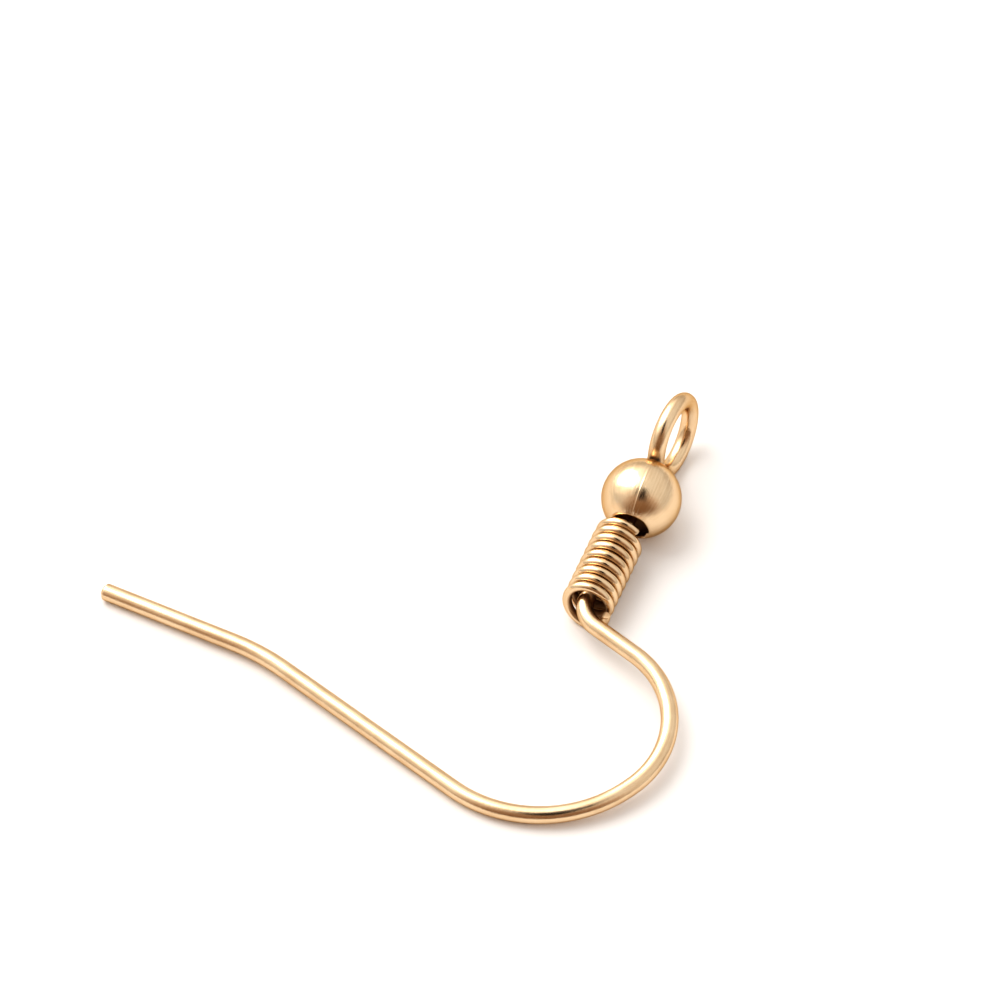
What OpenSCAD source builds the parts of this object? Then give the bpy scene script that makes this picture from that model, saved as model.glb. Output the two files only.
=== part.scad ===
// Ear wire: a fish-hook shaped wire with a drop loop, a hollow bead and a wire coil.
// It lies on its side on a flat surface, as it would by itself.
// Its flat shape is laid out with the middle of the bead at the origin, the shank along +X and
// the round top turning towards -Y. It is then turned and tilted until it rests on the surface.

/* [Wire] */
// Diameter of the ear wire
wire_d = 0.65; // [0.5:0.01:0.75]
// Length of the chamfer at the tip of the tail
tip_chamfer = 0.12; // [0.05:0.01:0.3]
// Diameter of the flat at the tip of the tail
tip_flat_d = 0.4; // [0.2:0.05:0.5]

/* [Drop loop] */
// Clear width inside the drop loop
loop_id = 2.2; // [1.8:0.05:3]
// Radius of the neck between the shank and the loop, at the middle of the wire
neck_r = 0.7; // [0.6:0.05:1]
// Distance from the middle of the bead to the start of the neck
neck_from_bead = 1.05; // [0.9:0.05:1.5]
// Angle between the loop's cut end and the line of the shank
loop_open = 12; // [10:1:40]
// Angle that the neck leans over about the line of the shank
neck_lean = -2; // [-5:0.5:5]
// Angle that the loop is twisted about the end of the neck
loop_twist = -3.5; // [-8:0.5:8]

/* [Hook] */
// Straight length from the middle of the bead to the first bend
shank_len = 4.8; // [4.5:0.05:6.5]
// Radius of the first bend, at the middle of the wire
first_r = 1.15; // [0.8:0.05:1.5]
// Angle of the first bend
first_angle = 72.5; // [60:0.5:85]
// Straight length between the first bend and the round top
rise_len = 1.9; // [1:0.05:3]
// Radius of the rising side of the round top
top_r = 3.65; // [3:0.05:4.5]
// Angle of the rising side of the round top
top_angle = 101; // [90:0.5:110]
// Radius of the falling side of the round top
back_r = 5.05; // [4:0.05:6]
// Angle of the falling side of the round top
back_angle = 77.5; // [70:0.5:90]
// Straight length of the leg
leg_len = 8.2; // [5:0.1:12]
// Radius of the outward bend below the leg
kink_r = 9.1; // [5:0.1:15]
// Angle of the outward bend below the leg
kink_angle = 14; // [5:1:20]
// Straight length of the tail
tail_len = 5.5; // [3:0.1:8]

/* [Bead] */
// Diameter of the bead
bead_d = 3; // [2.6:0.1:3.3]
// Diameter of the holes in the bead
bead_hole = 1.35; // [1.25:0.05:1.5]
// Wall of the hollow bead
bead_wall = 0.2; // [0.1:0.05:0.4]
// Distance that the bead lies to the side of the shank
bead_side = 0.1; // [-0.1:0.01:0.12]
// Angle that the bead's hole is turned from the shank
bead_turn = 5; // [-2:0.5:6]

/* [Coil] */
// Diameter of the coil's own wire
coil_wire_d = 0.35; // [0.25:0.01:0.36]
// Outer diameter of the coil
coil_od = 1.95; // [1.85:0.05:2.3]
// Number of turns in the coil
coil_turns = 8.85; // [5:0.05:9.4]
// Gap between neighbouring turns
turn_gap = 0.05; // [0.02:0.005:0.06]
// Distance from the middle of the bead to the near end of the coil
coil_from_bead = 1.5; // [1.5:0.05:1.8]
// Distance that the coil's near end lies to the side of the shank
coil_near_side = -0.02; // [-0.1:0.01:0.1]
// Distance that the coil's far end lies to the side of the shank
coil_far_side = 0.16; // [-0.1:0.01:0.2]
// Angle from upright to the side at which the coil's near end is cut
coil_cut_angle = 52; // [-180:2:180]

/* [Fits] */
// Least gap between a loose piece and the wire that it hangs on
hang_gap = 0.05; // [0.03:0.01:0.1]
// Height of a loose piece above the surface
floor_gap = 0.02; // [0.01:0.01:0.05]

/* [Hidden] */
$fn = 48;
GOLD = "goldenrod";

wire_r = wire_d / 2;
bead_r = bead_d / 2;
coil_r = coil_od / 2;
coil_wire_r = coil_wire_d / 2;
tip_flat_r = tip_flat_d / 2;
// A bend's tube is this much thinner than the straight wire that laps over its ends
lap_step = 0.0015;
// How far a straight laps over the bend at each of its ends
lap = 0.015;
// Straight link between two bends that follow each other
link_len = 0.12;
// How far the bores of the bead run past its wall
bore_past = 1;

// The loop's radius at the middle of the wire, and the neck that puts its centre on the shank's line
loop_r = loop_id / 2 + wire_r;
centre_gap = norm([loop_r + neck_r, link_len]);
neck_angle = acos(neck_r / centre_gap) - atan2(link_len, loop_r + neck_r);

// A path's row: straight run, then the bend's radius and turn, with left turns positive
RUN = 0;
RADIUS = 1;
TURN = 2;
hook_path = [
    [shank_len, first_r, first_angle],
    [rise_len, top_r, -top_angle],
    [link_len, back_r, -back_angle],
    [leg_len, kink_r, kink_angle],
    [tail_len, 0, 0]
];
neck_path = [[neck_from_bead, neck_r, neck_angle]];
loop_path = [[link_len, loop_r, loop_open - neck_angle - 270]];
HOOK_BENDS = [0:3];
TAIL = 4;

function unit(angle) = [cos(angle), sin(angle)];
function heading(path, i) = i == 0 ? 0 : heading(path, i - 1) + path[i - 1][TURN];
function run_start(path, i) = i == 0 ? [0, 0] : bend_at(path, i - 1, 1);
function run_at(path, i, distance) = run_start(path, i) + distance * unit(heading(path, i));
function bend_normal(path, i) = heading(path, i) + 90 * sign(path[i][TURN]);
function bend_centre(path, i) =
    run_at(path, i, path[i][RUN]) + path[i][RADIUS] * unit(bend_normal(path, i));
function bend_at(path, i, share) =
    bend_centre(path, i) - path[i][RADIUS] * unit(bend_normal(path, i) + share * path[i][TURN]);

// The hook lies on its round top and on the tail's tip: the line that touches both turns to +X
bend_steps = 60;
outline = [for (i = HOOK_BENDS) for (s = [0:bend_steps]) bend_at(hook_path, i, s / bend_steps)];
tail_tip = run_at(hook_path, TAIL, tail_len);
tail_heel = run_at(hook_path, TAIL, tail_len - tip_chamfer);
support_angle = min([for (p = outline) atan2(p[1] - tail_heel[1], p[0] - tail_heel[0])]);
function turned_x(p) = p * unit(support_angle);
function turned_y(p) = p * unit(support_angle + 90);
// Distance in plan from the supporting line to a point on the shank
function reach(x) = turned_y([x, 0]) - turned_y(tail_heel);

// Directions at the end of the neck, and the loop's middle and axis
neck_up = [0, sin(neck_lean), cos(neck_lean)];
neck_across = [0, cos(neck_lean), -sin(neck_lean)];
neck_out = sin(neck_angle) * neck_up - [cos(neck_angle), 0, 0];
neck_back = cos(neck_angle) * neck_up + [sin(neck_angle), 0, 0];
loop_inward = -cos(loop_twist) * neck_back - sin(loop_twist) * neck_across;
neck_end = neck_r * (1 - cos(neck_angle)) * neck_up - [neck_from_bead + neck_r * sin(neck_angle), 0, 0];
loop_centre = neck_end + link_len * neck_out + loop_r * loop_inward;
loop_axis = cross(neck_out, loop_inward);
loop_reach = turned_y([loop_centre[0], loop_centre[1]]) - turned_y(tail_heel);
loop_tilt = asin(loop_r / norm([loop_reach, loop_centre[2]])) - atan2(loop_centre[2], loop_reach);

// Each loose piece can shift on the shank by its slack, and stays above the surface
bead_slack = bead_hole / 2 - wire_r - hang_gap;
coil_slack = coil_r - coil_wire_d - wire_r - hang_gap;
half_rise = (coil_wire_d + turn_gap) / 2;
half_turns = 2 * coil_turns;
coil_near = coil_from_bead + coil_wire_r;
coil_far = coil_near + half_turns * half_rise;
coil_end = coil_far + coil_wire_r;

// The tilt that sets the loop on the surface, or the bead or coil where one of them reaches lower
rest_tilt = max(
    loop_tilt,
    asin((bead_r + floor_gap - hypot_left(bead_slack, bead_side) - wire_r) / reach(0)),
    asin((coil_r + floor_gap - hypot_left(coil_slack, coil_far_side) - wire_r) / reach(coil_end))
);
function shank_height(x) = wire_r + reach(x) * sin(rest_tilt);
// How far a loose piece of radius r hangs below the shank at x
function drop(x, r, slack) = min(slack, (shank_height(x) - r - floor_gap) / cos(rest_tilt));
bead_drop = drop(0, bead_r, hypot_left(bead_slack, bead_side));
coil_near_drop = drop(coil_near, coil_r, hypot_left(coil_slack, coil_near_side));
coil_far_drop = drop(coil_end, coil_r, hypot_left(coil_slack, coil_far_side));
function hypot_left(slack, side) = sqrt(max(0, pow(slack, 2) - pow(side, 2)));

// Middle of the space that the part takes up, in plan
tip_side = abs(sin(heading(hook_path, TAIL) - support_angle));
min_x = turned_x(tail_tip) - tip_flat_r * tip_side;
max_x = max([for (p = outline) turned_x(p)]) + wire_r;
far_way = [cos(support_angle + 90), sin(support_angle + 90), 0] * cos(rest_tilt) - [0, 0, sin(rest_tilt)];
loop_depth = loop_r * sqrt(1 - pow(loop_axis * far_way, 2));
loop_y = loop_reach * cos(rest_tilt) - loop_centre[2] * sin(rest_tilt);
max_y = loop_y + loop_depth + wire_r;
mid_x = (min_x + max_x) / 2;
mid_y = (max_y - wire_r) / 2;

// Sets the flat layout down on the surface, with the origin below its middle
module at_rest() {
    translate([-mid_x, -mid_y, wire_r])
        rotate([rest_tilt, 0, 0])
            translate([0, -turned_y(tail_heel), 0])
                rotate([0, 0, -support_angle])
                    children();
}

// Points +Z along a run of a path, from the run's start
module along_run(path, i) {
    start = run_start(path, i);
    translate([start[0], start[1], 0])
        rotate([0, 90, heading(path, i)])
            children();
}

module straight(path, i) {
    along_run(path, i)
        translate([0, 0, -lap])
            cylinder(r = wire_r, h = path[i][RUN] + 2 * lap);
}

module bend(path, i) {
    centre = bend_centre(path, i);
    turn = path[i][TURN];
    translate([centre[0], centre[1], 0])
        rotate([0, 0, bend_normal(path, i) + 180 + min(turn, 0)])
            rotate_extrude(angle = abs(turn))
                translate([path[i][RADIUS], 0])
                    circle(r = wire_r - lap_step);
}

// Shank from the neck to the first bend
module shank() {
    translate([-neck_from_bead - lap, 0, 0])
        rotate([0, 90, 0])
            cylinder(r = wire_r, h = neck_from_bead + shank_len + 2 * lap);
}

// Tail with its chamfered tip
module tail() {
    along_run(hook_path, TAIL)
        rotate_extrude()
            polygon([
                [0, -lap],
                [wire_r, -lap],
                [wire_r, tail_len - tip_chamfer],
                [tip_flat_r, tail_len],
                [0, tail_len]
            ]);
}

// Neck and drop loop, which stand almost upright over the shank's line
module loop_end() {
    neck_stop = run_start(neck_path, 1);
    rotate([-neck_lean, 0, 0]) rotate([90, 0, 180]) {
        bend(neck_path, 0);
        translate([neck_stop[0], neck_stop[1], 0])
            rotate([0, 0, neck_angle])
                rotate([loop_twist, 0, 0]) {
                    straight(loop_path, 0);
                    bend(loop_path, 0);
                }
    }
}

module hook_wire() {
    color(GOLD) at_rest() {
        shank();
        loop_end();
        for (i = HOOK_BENDS) bend(hook_path, i);
        for (i = [1:TAIL - 1]) straight(hook_path, i);
        tail();
    }
}

module bead() {
    color(GOLD) at_rest() translate([0, bead_side, -bead_drop]) difference() {
        sphere(r = bead_r);
        sphere(r = bead_r - bead_wall);
        rotate([0, 90, bead_turn])
            cylinder(d = bead_hole, h = bead_d + 2 * bore_past, center = true);
    }
}

// Half turn number k of the coil, counted from the bead: half turns of two tube radii lap
module half_turn(k) {
    mean_r = coil_r - coil_wire_r;
    lap_angle = lap / mean_r * 180 / PI;
    angle = 180 * min(1, half_turns - k);
    translate([0, 0, (k + 0.5) * half_rise])
        rotate([0, atan2(half_rise / 2, mean_r), 180 * k])
            rotate([0, 0, -lap_angle])
                rotate_extrude(angle = angle + 2 * lap_angle)
                    translate([norm([mean_r, half_rise / 2]), 0])
                        circle(r = coil_wire_r - lap_step * (k % 2));
}

// Coil, whose axis runs away from the bead
module coil() {
    run = coil_far - coil_near;
    side_step = coil_far_side - coil_near_side;
    drop_step = coil_far_drop - coil_near_drop;
    color(GOLD) at_rest()
        translate([coil_near, coil_near_side, -coil_near_drop])
            rotate([0, atan2(drop_step, run), atan2(side_step, run)])
                rotate([0, 90, 0])
                    rotate([0, 0, 180 - coil_cut_angle])
                        for (k = [0:ceil(half_turns) - 1]) half_turn(k);
}

hook_wire();
bead();
coil();
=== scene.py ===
import math

import bpy
import numpy as np
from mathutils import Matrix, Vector


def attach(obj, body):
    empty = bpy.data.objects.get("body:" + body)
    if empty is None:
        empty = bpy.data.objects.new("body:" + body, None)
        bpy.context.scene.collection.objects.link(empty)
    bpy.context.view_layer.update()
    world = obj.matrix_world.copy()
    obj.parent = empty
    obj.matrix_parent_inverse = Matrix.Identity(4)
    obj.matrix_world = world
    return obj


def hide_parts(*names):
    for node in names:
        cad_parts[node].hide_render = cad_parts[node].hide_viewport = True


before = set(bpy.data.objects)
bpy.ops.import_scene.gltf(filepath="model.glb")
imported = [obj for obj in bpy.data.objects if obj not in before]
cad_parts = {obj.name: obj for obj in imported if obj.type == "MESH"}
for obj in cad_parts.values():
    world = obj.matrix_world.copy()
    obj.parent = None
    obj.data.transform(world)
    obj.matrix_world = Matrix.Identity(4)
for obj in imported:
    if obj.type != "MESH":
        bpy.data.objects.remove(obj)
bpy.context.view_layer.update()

MM = 0.001

# Camera at the photograph's angle, in degrees and millimetres, with its clipping in metres
CAMERA_AZIMUTH = 34.725
CAMERA_ELEVATION = 52.318
CAMERA_DISTANCE = 182.93
CAMERA_SHIFT = (0.0143, 0.0639)
CAMERA_CLIP = (0.005, 10.0)
IMAGE_WIDTH = 37.387
SENSOR_WIDTH = 36.0


def camera_way():
    """Direction from the origin to the camera."""
    a, e = math.radians(CAMERA_AZIMUTH), math.radians(CAMERA_ELEVATION)
    return Vector((math.sin(a) * math.cos(e), -math.cos(a) * math.cos(e), math.sin(e)))


def make_camera():
    data = bpy.data.cameras.new("camera")
    data.sensor_width = SENSOR_WIDTH
    data.lens = SENSOR_WIDTH * CAMERA_DISTANCE / IMAGE_WIDTH
    data.shift_x, data.shift_y = CAMERA_SHIFT
    data.clip_start, data.clip_end = CAMERA_CLIP
    camera = bpy.data.objects.new("camera", data)
    bpy.context.scene.collection.objects.link(camera)
    camera.location = camera_way() * CAMERA_DISTANCE * MM
    camera.rotation_mode = "QUATERNION"
    camera.rotation_quaternion = (-camera_way()).to_track_quat("-Z", "Y")
    bpy.context.scene.camera = camera


make_camera()

# Sizes of the part in millimetres and degrees, as in its source
WIRE_D = 0.65
TIP_CHAMFER = 0.12
TIP_FLAT_D = 0.4
LOOP_ID = 2.2
NECK_R = 0.7
NECK_FROM_BEAD = 1.05
NECK_LEAN = -2.0
LOOP_TWIST = -3.5
SHANK_LEN = 4.8
FIRST_R = 1.15
FIRST_ANGLE = 72.5
RISE_LEN = 1.9
TOP_R = 3.65
TOP_ANGLE = 101.0
BACK_R = 5.05
BACK_ANGLE = 77.5
LEG_LEN = 8.2
KINK_R = 9.1
KINK_ANGLE = 14.0
TAIL_LEN = 5.5
BEAD_D = 3.0
BEAD_HOLE = 1.35
BEAD_WALL = 0.2
BEAD_SIDE = 0.1
BEAD_TURN = 5.0
COIL_WIRE_D = 0.35
COIL_OD = 1.95
TURN_GAP = 0.05
COIL_FROM_BEAD = 1.5
COIL_NEAR_SIDE = -0.02
COIL_CUT_ANGLE = 52.0
HANG_GAP = 0.05
FLOOR_GAP = 0.02
LINK_LEN = 0.12

# Sizes that follow the photograph a little closer than the part's solids do
LOOP_OPEN = 5.0
COIL_TURNS = 8.9
COIL_FAR_SIDE = 0.13

WIRE_R = WIRE_D / 2
BEAD_R = BEAD_D / 2
COIL_R = COIL_OD / 2
COIL_WIRE_R = COIL_WIRE_D / 2
COIL_PITCH = COIL_WIRE_D + TURN_GAP
LOOP_R = LOOP_ID / 2 + WIRE_R

# How finely wires are made: steps in millimetres and degrees, and sides round them
LINE_STEP = 0.06
WIRE_SIDES = 56
COIL_STEP = 4.0
COIL_SIDES = 28


def cosd(a):
    return math.cos(math.radians(a))


def sind(a):
    return math.sin(math.radians(a))


def turn_x(a):
    return np.array([[1, 0, 0], [0, cosd(a), -sind(a)], [0, sind(a), cosd(a)]])


def turn_y(a):
    return np.array([[cosd(a), 0, sind(a)], [0, 1, 0], [-sind(a), 0, cosd(a)]])


def turn_z(a):
    return np.array([[cosd(a), -sind(a), 0], [sind(a), cosd(a), 0], [0, 0, 1]])


def lengths(points):
    """Length along a line at each of its points."""
    return np.concatenate([[0], np.cumsum(np.linalg.norm(np.diff(points, axis=0), axis=1))])


def walk(path):
    """Points of a flat path of (straight run, bend radius, bend angle), and the heading at its end."""
    points, here, heading = [np.zeros(3)], np.zeros(3), 0.0
    for run, radius, angle in path:
        way = turn_z(heading) @ [1, 0, 0]
        pieces = max(1, int(round(run / LINE_STEP)))
        points += [here + way * run * i / pieces for i in range(1, pieces + 1)]
        here = here + way * run
        if radius > 0:
            side = math.copysign(90, angle)
            centre = here + turn_z(heading + side) @ [radius, 0, 0]
            pieces = max(2, int(round(abs(math.radians(angle)) * radius / LINE_STEP)))
            points += [
                centre - turn_z(heading + side + angle * i / pieces) @ [radius, 0, 0]
                for i in range(1, pieces + 1)
            ]
            here = points[-1]
            heading += angle
    return np.array(points), heading


# Centre lines in the flat layout: its origin is the bead's middle and the shank runs along +X
hook_line, tail_heading = walk(
    [
        (SHANK_LEN, FIRST_R, FIRST_ANGLE),
        (RISE_LEN, TOP_R, -TOP_ANGLE),
        (LINK_LEN, BACK_R, -BACK_ANGLE),
        (LEG_LEN, KINK_R, KINK_ANGLE),
        (TAIL_LEN, 0, 0),
    ]
)
centre_gap = math.hypot(LOOP_R + NECK_R, LINK_LEN)
neck_angle = math.degrees(math.acos(NECK_R / centre_gap) - math.atan2(LINK_LEN, LOOP_R + NECK_R))
neck_flat, _ = walk([(NECK_FROM_BEAD, NECK_R, neck_angle)])
loop_flat, _ = walk([(LINK_LEN, LOOP_R, LOOP_OPEN - neck_angle - 270)])
upright = turn_x(-NECK_LEAN) @ turn_z(180) @ turn_x(90)
neck_line = neck_flat @ upright.T
loop_line = (loop_flat @ (turn_z(neck_angle) @ turn_x(LOOP_TWIST)).T + neck_flat[-1]) @ upright.T

# The hook lies on its round top and on the tail's heel. The line through both is the line of support.
# It is looked for past the shank and short of the few points next to the heel.
HEEL_POINTS = 8
tail_way = turn_z(tail_heading) @ [1, 0, 0]
heel = hook_line[-1] - tail_way * TIP_CHAMFER
bends = hook_line[:-HEEL_POINTS]
bends = bends[bends[:, 0] > SHANK_LEN]
support = min(math.degrees(math.atan2(p[1] - heel[1], p[0] - heel[0])) for p in bends)
heel_y = (turn_z(-support) @ heel)[1]


def reach(x):
    """Distance of a point of the shank's line from the line of support."""
    return (turn_z(-support) @ [x, 0, 0])[1] - heel_y


def set_down(points, angle):
    """Points of the flat layout with the line of support along X, tilted about it."""
    aligned = np.asarray(points, float) @ turn_z(-support).T - np.array([0, heel_y, 0])
    return aligned @ turn_x(angle).T


def resting_tilt(low=2.0, high=9.0, rounds=40):
    """Tilt at which the loop lies as low as the line of support."""
    for _ in range(rounds):
        middle = (low + high) / 2
        if set_down(loop_line, middle)[:, 2].min() < 0:
            low = middle
        else:
            high = middle
    return middle


tilt = resting_tilt()

# Shift that centres the part on the origin and sets it on the floor
laid_hook = set_down(hook_line, tilt)
laid = np.vstack([laid_hook, set_down(loop_line, tilt)])
tip_side = abs(sind(tail_heading - support)) * TIP_FLAT_D / 2
left_end = laid_hook[:, 0].min() - tip_side
right_end = laid[:, 0].max() + WIRE_R
shift = np.array([-(left_end + right_end) / 2, -laid[:, 1].max() / 2, WIRE_R])


def place(points):
    """Points of the flat layout, set down on the floor, in metres."""
    return (set_down(points, tilt) + shift) * MM


def solid(name, verts, faces, maps, parts):
    """A smooth closed mesh with its texture map and the number of each face's material."""
    mesh = bpy.data.meshes.new(name)
    mesh.from_pydata([tuple(v) for v in verts], [], faces)
    mesh.polygons.foreach_set("material_index", np.array(parts, np.int32))
    layer = mesh.uv_layers.new(name="surface")
    layer.data.foreach_set("uv", np.array(maps, np.float32).ravel())
    mesh.polygons.foreach_set("use_smooth", [True] * len(mesh.polygons))
    mesh.update()
    piece = bpy.data.objects.new(name, mesh)
    bpy.context.scene.collection.objects.link(piece)
    return piece


# A swept wire's bands of faces at each end with its second material, and the map of an end's middle
CUT_BANDS = 4
END_MAP = (0.0, 0.01, 0.02)


def sweep(name, line, radii, sides, start_up):
    """A round tube with closed ends along a line, in metres. Its cut ends have its second material.
    Its texture map runs in millimetres, and round the tube with the girth of the hook's wire."""
    way = np.gradient(line, axis=0)
    way /= np.linalg.norm(way, axis=1)[:, None]
    up = np.array(start_up)
    along = lengths(line) / MM
    girth = 2 * math.pi * WIRE_R
    turns = 2 * math.pi * np.arange(sides) / sides
    verts, faces, maps, parts = [], [], [], []
    for point, direction, radius in zip(line, way, radii):
        up = up - direction * (up @ direction)
        up /= np.linalg.norm(up)
        across = np.cross(direction, up)
        verts.append(point + radius * (np.outer(np.cos(turns), up) + np.outer(np.sin(turns), across)))
    bands = len(line) - 1
    for i in range(bands):
        here, ahead = i * sides, (i + 1) * sides
        for j in range(sides):
            k = (j + 1) % sides
            faces.append((here + j, here + k, ahead + k, ahead + j))
            v0, v1 = girth * j / sides, girth * (j + 1) / sides
            maps += [(along[i], v0), (along[i], v1), (along[i + 1], v1), (along[i + 1], v0)]
        parts += [1 if i < CUT_BANDS or i >= bands - CUT_BANDS else 0] * sides
    verts = np.vstack([*verts, line[0], line[-1]])
    first, last = len(verts) - 2, len(verts) - 1
    for j in range(sides):
        k = (j + 1) % sides
        faces.append((first, k, j))
        maps += [(0, v) for v in END_MAP]
        faces.append((last, bands * sides + j, bands * sides + k))
        maps += [(along[-1], v) for v in END_MAP]
        parts += [1, 1]
    return solid(name, verts, faces, maps, parts)


def shade_inside(piece, amounts):
    """Stores how much painted shade, dark and dull, each corner of a piece takes, from 0 to 1, as the
    colour layer that the plating's material reads.
    """
    layer = piece.data.color_attributes.new(name="inside", type="FLOAT_COLOR", domain="POINT")
    colors = np.repeat(np.clip(np.asarray(amounts), 0, 1)[:, None], 4, axis=1)
    layer.data.foreach_set("color", colors.astype(np.float32).ravel())


def corners_of(piece):
    """Corners of a piece in millimetres."""
    return np.array([v.co for v in piece.data.vertices]) / MM


# Rows of a cut end: the flat face's first radius and its second's share, and how its corners round
FACE_MIDDLE = 0.02
FACE_SHARE = 0.6
CORNER_STEPS = 5
INNER_CORNER_FULLNESS = 0.9
OUTER_CORNER_FULLNESS = 0.5

# Least distance in millimetres from a cut end's rows to the line's own, and between any two rows
ROW_GAP = 0.02
LEAST_STEP = 1e-6


def cut_end(radius, flat, length, corner):
    """Rows of (distance back from the end, radius) for a flat face and a chamfer with rounded corners."""
    shares = [i / CORNER_STEPS for i in range(1, CORNER_STEPS + 1)]
    rows = [(0.0, FACE_MIDDLE), (0.0, flat * FACE_SHARE), (0.0, flat - corner)]
    for s in shares:
        rows.append((corner * s * s, flat - corner + corner * s * (2 - s) * INNER_CORNER_FULLNESS))
    rows.append((length / 2, (flat + radius) / 2))
    for s in shares:
        back = length - corner + 2 * corner * s
        rows.append((back, radius - corner * (1 - s) ** 2 * OUTER_CORNER_FULLNESS))
    return rows


def capped(line, radius, head, tail):
    """A line of equal radius with the rows of two cut ends added, and the radius at each row."""
    s = lengths(line)
    total = s[-1]
    between = [x for x in s if head[-1][0] + ROW_GAP < x < total - tail[-1][0] - ROW_GAP]
    rows = head + [(x, radius) for x in between] + [(total - back, r) for back, r in reversed(tail)]
    steps = LEAST_STEP * np.arange(len(rows))
    spaced = np.maximum.accumulate(np.array([x for x, _ in rows]) + steps)
    spaced = np.minimum(spaced, total - steps[::-1])
    points = np.column_stack([np.interp(spaced, s, line[:, i]) for i in range(3)])
    return points, np.array([r for _, r in rows])


# The wire's cut ends, and the painted shade, dark and dull, where it enters the bead on the loop's side
LOOP_END_EDGE = 0.035
LOOP_END_CHAMFER = 0.045
LOOP_END_CORNER = 0.015
TIP_CORNER = 0.03
PAINTED_SHADE_REACH = 0.55
PAINTED_SHADE_MOST = 0.4


def make_wire():
    """The one bent wire, from the loop's cut end through the neck and the shank to the tail's tip."""
    line, radii = capped(
        np.vstack([loop_line[::-1], neck_line[::-1][1:], hook_line[1:]]),
        WIRE_R,
        cut_end(WIRE_R, WIRE_R - LOOP_END_EDGE, LOOP_END_CHAMFER, LOOP_END_CORNER),
        cut_end(WIRE_R, TIP_FLAT_D / 2, TIP_CHAMFER, TIP_CORNER),
    )
    piece = sweep("ear_wire", place(line), radii * MM, WIRE_SIDES, (0.0, 0.0, 1.0))
    bead_middle, origin, ahead = place([[0, BEAD_SIDE, 0], [0, 0, 0], [1, 0, 0]]) / MM
    # Painted shade, dark and dull, on the wire next to the bead on the loop's side
    from_bead = corners_of(piece) - bead_middle
    clear_of_bead = np.linalg.norm(from_bead, axis=1) - BEAD_R
    painted_shade = np.clip(1 - clear_of_bead / PAINTED_SHADE_REACH, 0, 1) * PAINTED_SHADE_MOST
    shade_inside(piece, np.where(from_bead @ (ahead - origin) < 0, painted_shade, 0))
    return piece


def drop(x, radius, slack, side):
    """How far a loose piece lies below the shank's line: by its slack, or less where the floor stops it."""
    free = math.sqrt(max(0.0, slack**2 - side**2))
    high = WIRE_R + reach(x) * sind(tilt)
    return min(free, (high - radius - FLOOR_GAP) / cosd(tilt))


# Where the bead and the coil hang on the shank
bead_drop = drop(0, BEAD_R, BEAD_HOLE / 2 - WIRE_R - HANG_GAP, BEAD_SIDE)
coil_near = COIL_FROM_BEAD + COIL_WIRE_R
coil_far = coil_near + COIL_TURNS * COIL_PITCH
coil_slack = COIL_R - COIL_WIRE_D - WIRE_R - HANG_GAP
near_drop = drop(coil_near, COIL_R, coil_slack, COIL_NEAR_SIDE)
far_drop = drop(coil_far + COIL_WIRE_R, COIL_R, coil_slack, COIL_FAR_SIDE)
coil_start = np.array([coil_near, COIL_NEAR_SIDE, -near_drop])
coil_yaw = math.degrees(math.atan2(COIL_FAR_SIDE - COIL_NEAR_SIDE, coil_far - coil_near))
coil_dip = math.degrees(math.atan2(far_drop - near_drop, coil_far - coil_near))
coil_way = turn_z(coil_yaw) @ turn_y(coil_dip)

# How the coil differs from an even helix, in millimetres, turns and degrees: its turns lean and slant,
# its near end is tighter, its mouth flares and reaches out, and its winding is uneven
COIL_LEAN = 0.055
COIL_SLANT = 0.055
SLANT_ANGLE = 17
NEAR_TIGHT = 0.03
NEAR_TURNS = 1.5
MOUTH_FLARE = 0.1
FLARE_TURNS = 1.2
FLARE_ANGLE = 30
MOUTH_REACH = 0.1
REACH_FROM = 0.78
REACH_OVER = 0.45
REACH_AT_END = 0.25
REACH_BACK_OVER = 0.35
UNEVEN_WAVES = ((0.012, 5.1, 0), (0.008, 11.7, 1))

# The coil's cut ends, and how much painted shade, dark and dull, it takes in its grooves and, in radii of
# its wire, on its inner side
COIL_END_EDGE = 0.02
COIL_END_CHAMFER = 0.03
COIL_END_CORNER = 0.01
GROOVE_SHADE = 0.2
GROOVE_FROM = 0.72
GROOVE_OVER = 0.26
INNER_FROM = 1.1
INNER_OVER = 0.6


def coil_point(turned):
    """Middle of the coil's wire after it has turned by so many degrees from its near end.
    The winding is right-handed, and its turns lean towards the bead at the top."""
    t = COIL_CUT_ANGLE - turned
    turn = turned / 360
    left = COIL_TURNS - turn
    radius = COIL_R - COIL_WIRE_R
    radius += MOUTH_FLARE * max(0.0, 1 - left / FLARE_TURNS) ** 2 * (1 - sind(t + FLARE_ANGLE)) / 2
    radius -= NEAR_TIGHT * max(0.0, 1 - turn / NEAR_TURNS) ** 2
    opened = min(1.0, max(0.0, (REACH_FROM - left) / REACH_OVER), REACH_AT_END + left / REACH_BACK_OVER)
    along = COIL_PITCH * turn
    along += MOUTH_REACH * opened * opened * (3 - 2 * opened)
    along -= COIL_LEAN * (cosd(t) - cosd(COIL_CUT_ANGLE))
    along += COIL_SLANT * (sind(t - SLANT_ANGLE) - sind(COIL_CUT_ANGLE - SLANT_ANGLE))
    along += sum(size * math.sin(turn * pace + start) for size, pace, start in UNEVEN_WAVES)
    return np.array([along, radius * sind(t), radius * cosd(t)])


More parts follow.
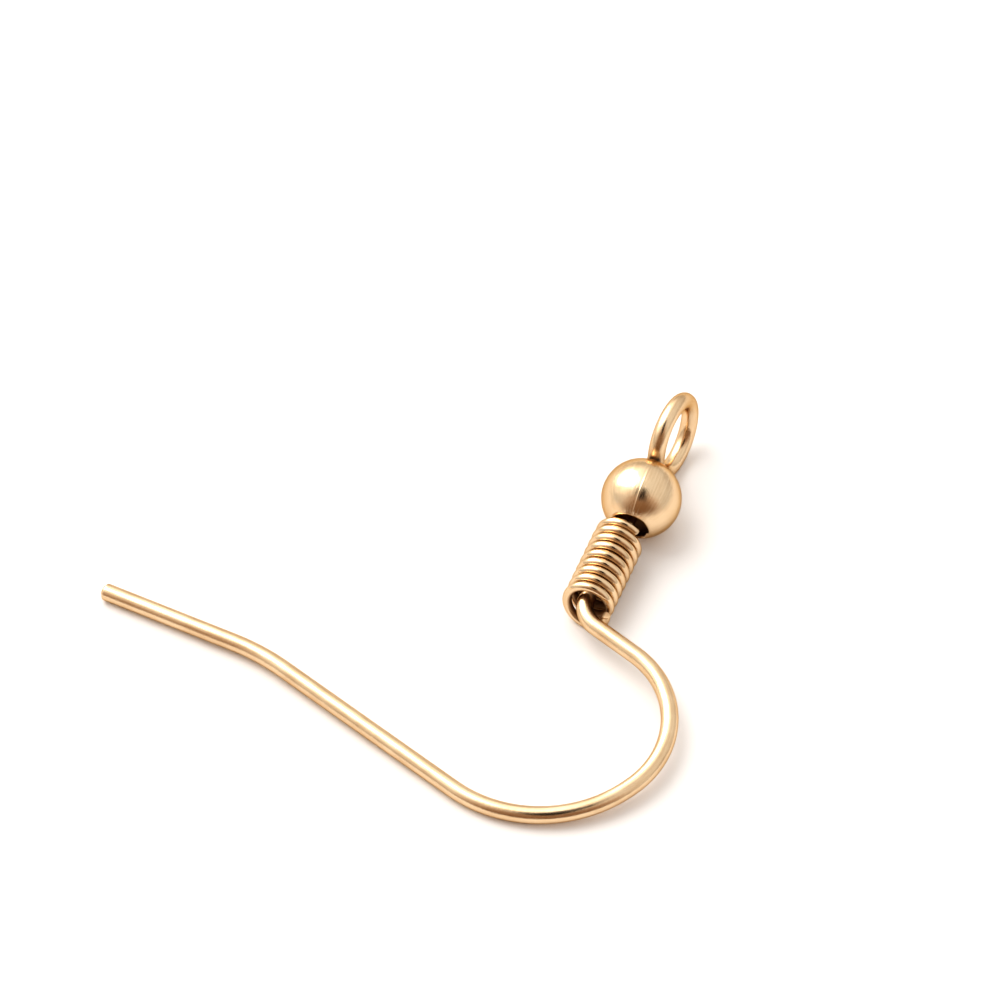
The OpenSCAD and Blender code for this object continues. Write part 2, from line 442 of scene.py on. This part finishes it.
def shade_coil(piece, line):
    """Paints shade, dark and dull, on the coil's inner side and on the sides of its turns that face another
    turn.
    """
    start, ahead = place([coil_start, coil_start + coil_way @ [1, 0, 0]]) / MM
    axis = ahead - start
    corners = corners_of(piece) - start
    off_axis = np.linalg.norm(corners - np.outer(corners @ axis, axis), axis=1)
    middles = np.repeat(place(line), COIL_SIDES, axis=0) / MM - start
    sideways = np.zeros(len(corners))
    sideways[: len(middles)] = (corners[: len(middles)] - middles) @ axis / COIL_WIRE_R
    row = np.arange(len(corners)) // COIL_SIDES
    turn_rows = int(360 / COIL_STEP)
    near_end = (row < turn_rows) & (sideways < 0)
    far_end = (row > len(line) - turn_rows) & (sideways > 0)
    painted_groove_shade = np.clip((np.abs(sideways) - GROOVE_FROM) / GROOVE_OVER, 0, 1) * GROOVE_SHADE
    painted_inner_shade = (COIL_R - COIL_WIRE_R * INNER_FROM - off_axis) / (COIL_WIRE_R * INNER_OVER)
    shade_inside(piece, np.maximum(np.where(near_end | far_end, 0, painted_groove_shade), painted_inner_shade))


def make_coil():
    """The coil of thin wire that hangs loosely on the shank."""
    steps = round(COIL_TURNS * 360 / COIL_STEP)
    helix = np.array([coil_point(COIL_STEP * i) for i in range(steps + 1)]) @ coil_way.T + coil_start
    end = cut_end(COIL_WIRE_R, COIL_WIRE_R - COIL_END_EDGE, COIL_END_CHAMFER, COIL_END_CORNER)
    line, radii = capped(helix, COIL_WIRE_R, end, end)
    piece = sweep("wire_coil", place(line), radii * MM, COIL_SIDES, (1.0, 0.0, 0.0))
    shade_coil(piece, line)
    return piece


# The bead's form: a ball with a rolled rim at both holes, an uneven edge there and one fine seam
BALL_EXTRA = 0.012
BALL_R = BEAD_R + BALL_EXTRA
HOLE_R = BEAD_HOLE / 2
INNER_R = BEAD_R - BEAD_WALL
BEAD_SIDES = 288
OUTER_ROWS = 73
RIM_ROWS = 7
INNER_ROWS = 33
RIM_LIP = 0.045
RIM_ROLL = 0.6
RIM_BACK = 0.004
RIM_DEPTH = 0.2
RIM_INSET = 0.04
RIM_FADE = 0.16
RIM_WAVES = ((0.036, 3, 1), (0.0252, 7, 2), (0.018, 12, -1))
SEAM_ANGLE = 7.0
SEAM_HEIGHT = 0.016
SEAM_WIDTH = 0.022
OUTSIDE_MARGIN = 0.005
MAP_END = 0.02
outer_stop = math.degrees(math.asin((HOLE_R + RIM_LIP) / BALL_R))
inner_stop = math.degrees(math.asin(HOLE_R / INNER_R))
edge_x = BALL_R * cosd(outer_stop)


def bead_profile():
    """Rows of (place along the hole, radius) round the bead's wall: outside, rim, inside, other rim."""
    rim = []
    for i in range(1, RIM_ROWS + 1):
        share = i / (RIM_ROWS + 1)
        back = RIM_LIP * RIM_ROLL * (1 - cosd(180 * share)) + RIM_BACK
        rim.append((edge_x - back, HOLE_R + RIM_LIP * cosd(90 * share) * (1 - share)))
    outer = np.linspace(outer_stop, 180 - outer_stop, OUTER_ROWS)
    inner = np.linspace(inner_stop, 180 - inner_stop, INNER_ROWS)
    rows = [(-BALL_R * cosd(a), BALL_R * sind(a)) for a in outer]
    rows += rim
    rows += [(INNER_R * cosd(a), INNER_R * sind(a)) for a in inner]
    rows += [(-x, r) for x, r in reversed(rim)]
    return np.array(rows)


def bead_ring(x, r, spin, seam):
    """One ring of the bead's corners, with the uneven edge near a rim and the seam on the outside."""
    outside = math.hypot(x, r) > BALL_R - OUTSIDE_MARGIN
    near_rim = 0.0
    if abs(x) > edge_x - RIM_DEPTH:
        near_rim = max(0.0, 1 - (r - HOLE_R + RIM_INSET) / RIM_FADE)
    r = r + near_rim * sum(size * np.sin(count * spin + drift * x) for size, count, drift in RIM_WAVES)
    off_seam = np.abs((spin - seam + math.pi) % (2 * math.pi) - math.pi) * r
    ridge = SEAM_HEIGHT * np.exp(-((off_seam / SEAM_WIDTH) ** 2)) if outside else 0 * off_seam
    size = 1 + ridge / BALL_R
    return np.column_stack([x * size, r * np.sin(spin) * size, r * np.cos(spin) * size])


def make_bead():
    """The hollow bead that hangs loosely on the shank. Its inside has its second material, a dull gold
    darkened as painted shade.
    """
    profile = bead_profile()
    rows = len(profile)
    seam = math.radians(SEAM_ANGLE)
    spin = seam + 2 * math.pi * (np.arange(BEAD_SIDES) / BEAD_SIDES)
    verts = np.vstack([bead_ring(x, r, spin, seam) for x, r in profile])
    along = lengths(profile)
    girth = 2 * math.pi * BEAD_R
    half_rim = (RIM_ROWS + 1) // 2
    inside = range(OUTER_ROWS + half_rim, OUTER_ROWS + RIM_ROWS + INNER_ROWS + half_rim)
    faces, maps, parts = [], [], []
    for i in range(rows):
        n = (i + 1) % rows
        here, ahead = i * BEAD_SIDES, n * BEAD_SIDES
        v0, v1 = along[i], along[n] if n else along[-1] + MAP_END
        for j in range(BEAD_SIDES):
            k = (j + 1) % BEAD_SIDES
            faces.append((here + j, ahead + j, ahead + k, here + k))
            u0, u1 = girth * j / BEAD_SIDES, girth * (j + 1) / BEAD_SIDES
            maps += [(u0, v0), (u0, v1), (u1, v1), (u1, v0)]
        parts += [1 if i in inside else 0] * BEAD_SIDES
    hung = verts @ turn_z(BEAD_TURN).T + np.array([0, BEAD_SIDE, -bead_drop])
    return solid("round_bead", place(hung), faces, maps, parts)


wire = make_wire()
coil = make_coil()
bead = make_bead()


def add_node(tree, kind, settings=None, inputs=None):
    """A new node with its settings, and a value or a link for each input that is named."""
    node = tree.nodes.new(kind)
    for key, value in (settings or {}).items():
        setattr(node, key, value)
    for key, value in (inputs or {}).items():
        if isinstance(value, bpy.types.NodeSocket):
            tree.links.new(value, node.inputs[key])
        else:
            node.inputs[key].default_value = value
    return node


def noise(tree, vector, scale, detail, roughness=0.5):
    inputs = {"Vector": vector, "Scale": scale, "Detail": detail, "Roughness": roughness}
    return add_node(tree, "ShaderNodeTexNoise", None, inputs).outputs["Fac"]


def mixed(tree, kind, factor, a, b):
    inputs = {"Factor": factor, "A": a, "B": b}
    return add_node(tree, "ShaderNodeMix", {"data_type": kind}, inputs).outputs["Result"]


def calculated(tree, operation, *values):
    node = add_node(tree, "ShaderNodeMath", {"operation": operation}, dict(enumerate(values)))
    return node.outputs["Value"]


def spread(tree, value, source, target, smooth=False):
    """Runs over the target range while the value runs over the source range, and stops at both ends."""
    kind = "SMOOTHSTEP" if smooth else "LINEAR"
    inputs = {"Value": value, "From Min": source[0], "From Max": source[1]}
    inputs.update({"To Min": target[0], "To Max": target[1]})
    return add_node(tree, "ShaderNodeMapRange", {"interpolation_type": kind}, inputs).outputs["Result"]


def bump(tree, strength, depth, height, **under):
    """A bumpy normal of a depth in metres, over another one where it is given as Normal."""
    inputs = {"Strength": strength, "Distance": depth, "Height": height, **under}
    return add_node(tree, "ShaderNodeBump", None, inputs).outputs["Normal"]


# Colours of the plating: bright and shaded gold, its edge tint, and the dark dull gold of the painted shade
# in hollows, grooves and beside the bead
TINT = (0.82, 0.61, 0.39)
SHADE = (0.7, 0.485, 0.285)
EDGE = (0.6, 0.44, 0.28)
SHADED_DULL_GOLD = (0.2, 0.095, 0.04)
SHADED_DULL_GOLD_DARK = (0.13, 0.055, 0.022)

# The plating's tone, brushed lines and skin: noise scales, ranges of the noise used, and depths in metres
TONE_SCALE = 900.0
TONE_DETAIL = 3.0
TONE_RANGE = (0.38, 0.58)
LINES_DETAIL = 4.0
LINES_ROUGHNESS = 0.65
LINES_RANGE = (0.3, 0.7)
LINES_DEPTH = 0.000012
SKIN_SCALE = 6500.0
SKIN_DETAIL = 2.0
SKIN_STRENGTH = 0.35
SKIN_DEPTH = 0.000008
DULL_ROUGHNESS = 0.45


def material(name, tint, dark, rough, brushed, scratch):
    """Gold-coloured plating with uneven tone, brushed lines and a slightly uneven skin.
    It takes painted shade, a dark dull gold, and turns rougher where a piece's colour layer from
    shade_inside says so."""
    mat = bpy.data.materials.new(name)
    mat.use_nodes = True
    tree = mat.node_tree
    shader = tree.nodes["Principled BSDF"]
    shader.inputs["Metallic"].default_value = 1.0
    shader.inputs["Specular IOR Level"].default_value = 0.5
    shader.inputs["Specular Tint"].default_value = (*EDGE, 1)

    spot = add_node(tree, "ShaderNodeTexCoord").outputs["Object"]
    surface = add_node(tree, "ShaderNodeUVMap", {"uv_map": "surface"}).outputs["UV"]
    inside = add_node(tree, "ShaderNodeAttribute", {"attribute_name": "inside"}).outputs["Fac"]
    stretch = add_node(tree, "ShaderNodeMapping", None, {"Vector": surface, "Scale": (*brushed, 1.0)})
    lines = noise(tree, stretch.outputs["Vector"], 1.0, LINES_DETAIL, LINES_ROUGHNESS)
    tone = noise(tree, spot, TONE_SCALE, TONE_DETAIL)
    skin = noise(tree, spot, SKIN_SCALE, SKIN_DETAIL)

    ramp = add_node(tree, "ShaderNodeValToRGB", None, {"Fac": mixed(tree, "FLOAT", 0.5, tone, lines)})
    for element, position, color in zip(ramp.color_ramp.elements, TONE_RANGE, (dark, tint)):
        element.position = position
        element.color = (*color, 1)
    # Painted shade: where the colour layer says so, the plating turns to dark dull gold
    painted_shade_color = mixed(tree, "RGBA", inside, ramp.outputs["Color"], (*SHADED_DULL_GOLD, 1))
    polish = spread(tree, lines, LINES_RANGE, rough)
    worn = calculated(tree, "MULTIPLY_ADD", inside, DULL_ROUGHNESS, polish)
    scratches = bump(tree, scratch, LINES_DEPTH, lines)
    uneven = bump(tree, SKIN_STRENGTH, SKIN_DEPTH, skin, Normal=scratches)
    for socket, key in ((painted_shade_color, "Base Color"), (worn, "Roughness"), (uneven, "Normal")):
        tree.links.new(socket, shader.inputs[key])
    return mat


# A piece's first material is its plating, its second that of its cut ends or its inside.
# Brushed is how finely the lines run along the map and across it, and scratch how deep they are.
cut = {"rough": (0.4, 0.55), "brushed": (9.0, 9.0), "scratch": 0.6}
wire.data.materials.append(
    material("gold_wire", TINT, SHADE, rough=(0.17, 0.27), brushed=(0.8, 14.0), scratch=0.3)
)
wire.data.materials.append(material("cut_wire", TINT, SHADE, **cut))
coil.data.materials.append(
    material("gold_coil", TINT, SHADE, rough=(0.1, 0.17), brushed=(0.8, 20.0), scratch=0.3)
)
coil.data.materials.append(material("cut_coil", TINT, SHADE, **cut))
bead.data.materials.append(
    material("gold_bead", TINT, SHADE, rough=(0.12, 0.21), brushed=(14.0, 0.4), scratch=0.8)
)
# The bead's inside: dull gold, darkened as painted shade
bead.data.materials.append(
    material("inside_bead", SHADED_DULL_GOLD, SHADED_DULL_GOLD_DARK, rough=(0.4, 0.6), brushed=(9.0, 9.0), scratch=0.6)
)

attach(wire, "hook")
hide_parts("hook_wire")
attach(bead, "bead")
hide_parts("bead")
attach(coil, "coil")
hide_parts("coil")

# The studio in metres: a plain pale floor, two soft lights, and a dark card behind the camera, raised
# along the view's up. The key light's way is to the view's right, towards its back, and up.
PAPER = (0.95, 0.94, 0.932)
CARD = (0.006, 0.0035, 0.002)
MATT_ROUGHNESS = 0.9
FLOOR_SIZE = (4.0, 4.0)
CARD_SIZE = (0.105, 0.155)
CARD_CORNERS = 32
CARD_DISTANCE = 0.2
CARD_RISE = 0.045
LIGHT_DISTANCE = 0.36
KEY_WAY = (-0.5, -0.35, 1.0)
KEY_SIZE = (0.24, 0.24)
KEY_POWER = 0.32
KEY_COLOR = (1.0, 0.975, 0.94)
SOFT_WAY = (-0.78, 0.12, 0.61)
SOFT_SIZE = (0.3, 0.22)
SOFT_POWER = 0.8
SOFT_COLOR = (1.0, 0.985, 0.96)

# The light from all round: dim at the horizon and bright above, one bright side and a dim brown front
SKY_COLOR = (1.0, 0.99, 0.975)
SKY_TURN = (0.0, 0.6)
SKY_LEVELS = (0.62, 0.86)
BRIGHT_WAY = (-0.72, 0.1, 0.69)
BRIGHT_TURN = (0.6, 1.0)
BRIGHT_EXTRA = 0.95
FRONT_COLOR = (1.0, 0.6, 0.36)
FRONT_WAY = (0.48, -0.84, 0.26)
FRONT_TURN = (0.5, 0.95)
FRONT_LESS = 0.65


def plain(name, color):
    """A matt material without any shine."""
    mat = bpy.data.materials.new(name)
    mat.use_nodes = True
    shader = mat.node_tree.nodes["Principled BSDF"]
    shader.inputs["Base Color"].default_value = (*color, 1)
    shader.inputs["Roughness"].default_value = MATT_ROUGHNESS
    shader.inputs["Specular IOR Level"].default_value = 0.0
    return mat


def panel(name, centre, facing, size, mat, corners=4):
    """A flat panel of the studio, facing a point: a rectangle, or an oval of more corners."""
    mesh = bpy.data.meshes.new(name)
    reach_out = math.sqrt(2) if corners == 4 else 1.0
    w, h = reach_out * size[0] / 2, reach_out * size[1] / 2
    ring = [45 + 360 * i / corners for i in range(corners)]
    mesh.from_pydata([(w * cosd(a), h * sind(a), 0) for a in ring], [], [tuple(range(corners))])
    mesh.materials.append(mat)
    obj = bpy.data.objects.new(name, mesh)
    bpy.context.scene.collection.objects.link(obj)
    obj.location = Vector(centre)
    obj.rotation_mode = "QUATERNION"
    obj.rotation_quaternion = (Vector(facing) - Vector(centre)).to_track_quat("Z", "Y")
    return obj


def area_light(name, way, size, power, color):
    """A soft oval light that faces the origin from the direction given."""
    data = bpy.data.lights.new(name, "AREA")
    data.shape = "ELLIPSE"
    data.size, data.size_y = size
    data.energy = power
    data.color = color
    lamp = bpy.data.objects.new(name, data)
    bpy.context.scene.collection.objects.link(lamp)
    lamp.location = way.normalized() * LIGHT_DISTANCE
    lamp.rotation_mode = "QUATERNION"
    lamp.rotation_quaternion = (-way).to_track_quat("-Z", "Y")
    return lamp


def make_world():
    """The light from all round, which the polished metal mirrors."""
    world = bpy.data.worlds.new("studio")
    bpy.context.scene.world = world
    world.use_nodes = True
    tree = world.node_tree
    background = tree.nodes["Background"]
    ray = add_node(tree, "ShaderNodeTexCoord").outputs["Generated"]
    height = add_node(tree, "ShaderNodeSeparateXYZ", None, {"Vector": ray}).outputs["Z"]

    def toward(way):
        node = add_node(tree, "ShaderNodeVectorMath", {"operation": "DOT_PRODUCT"}, {0: ray, 1: way})
        return node.outputs["Value"]

    level = spread(tree, height, SKY_TURN, SKY_LEVELS, smooth=True)
    bright = toward(Vector(BRIGHT_WAY).normalized())
    glow = spread(tree, bright, BRIGHT_TURN, (0.0, BRIGHT_EXTRA), smooth=True)
    front = toward(Vector(FRONT_WAY))
    shade = spread(tree, front, FRONT_TURN, (1.0, 1.0 - FRONT_LESS), smooth=True)
    brown = spread(tree, front, FRONT_TURN, (0.0, 1.0))
    dimmed = calculated(tree, "MULTIPLY", calculated(tree, "ADD", level, glow), shade)
    warm = mixed(tree, "RGBA", brown, (*SKY_COLOR, 1), (*FRONT_COLOR, 1))
    tree.links.new(warm, background.inputs["Color"])
    tree.links.new(dimmed, background.inputs["Strength"])


def make_studio():
    """Floor, surrounding light, lamps and card, set out from the camera's side."""
    view_right = Vector((cosd(CAMERA_AZIMUTH), sind(CAMERA_AZIMUTH), 0))
    view_back = Vector((sind(CAMERA_AZIMUTH), -cosd(CAMERA_AZIMUTH), 0))
    panel("floor", (0, 0, 0), (0, 0, 1), FLOOR_SIZE, plain("paper", PAPER))
    make_world()
    key_way = view_right * KEY_WAY[0] + view_back * KEY_WAY[1] + Vector((0, 0, KEY_WAY[2]))
    area_light("key", key_way, KEY_SIZE, KEY_POWER, KEY_COLOR)
    softbox = area_light("softbox", Vector(SOFT_WAY), SOFT_SIZE, SOFT_POWER, SOFT_COLOR)
    softbox.visible_diffuse = False
    card_place = camera_way() * CARD_DISTANCE + camera_way().cross(view_right) * CARD_RISE
    card = panel("lens_card", card_place, (0, 0, 0), CARD_SIZE, plain("black_card", CARD), CARD_CORNERS)
    card.visible_shadow = False
    card.visible_diffuse = False


make_studio()
bpy.context.scene.view_settings.view_transform = "Standard"
bpy.context.scene.view_settings.look = "Medium High Contrast"
